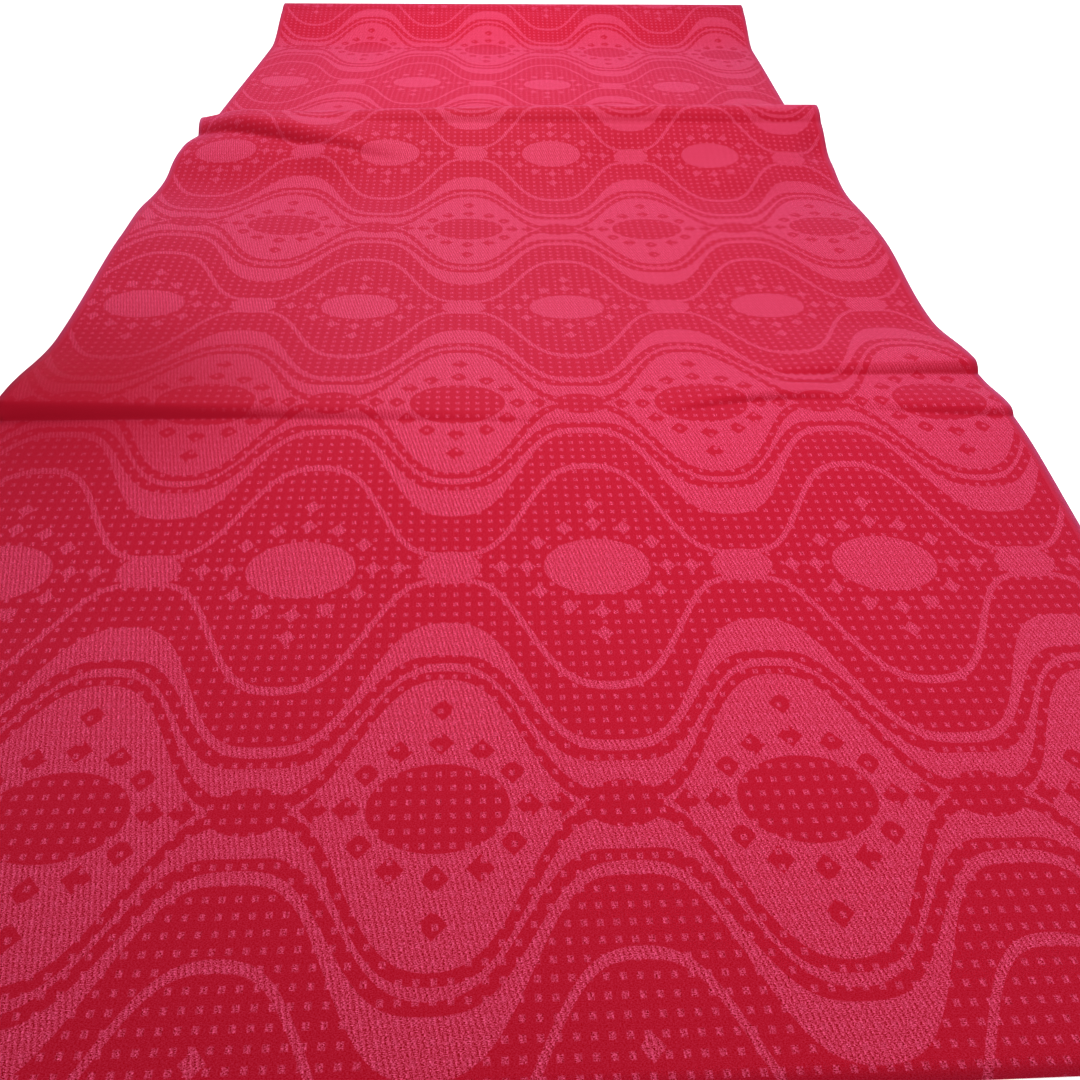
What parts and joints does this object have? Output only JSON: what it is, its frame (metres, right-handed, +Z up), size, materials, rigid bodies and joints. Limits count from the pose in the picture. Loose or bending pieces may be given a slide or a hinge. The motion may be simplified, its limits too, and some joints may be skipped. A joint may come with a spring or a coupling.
{
  "type": "length of embossed wax print fabric",
  "caption": "Full-width cut length of crimson embossed cotton cloth, laid out lengthwise with raised cross folds, low creases and lifted edges.",
  "frame": {"origin": "middle of the cloth's footprint, on the surface that it lies on", "axes": "+Y along the cut length, away from the near cut end; +X to the right selvedge; +Z up"},
  "size_m": [1.185, 2.4724, 0.0659],
  "materials": {
    "cloth": "crimson cotton damask, dark ground with lighter satin figures, soft sheen"
  },
  "bodies": {
    "root": {"cloth": "cloth"}
  },
  "joints": []
}
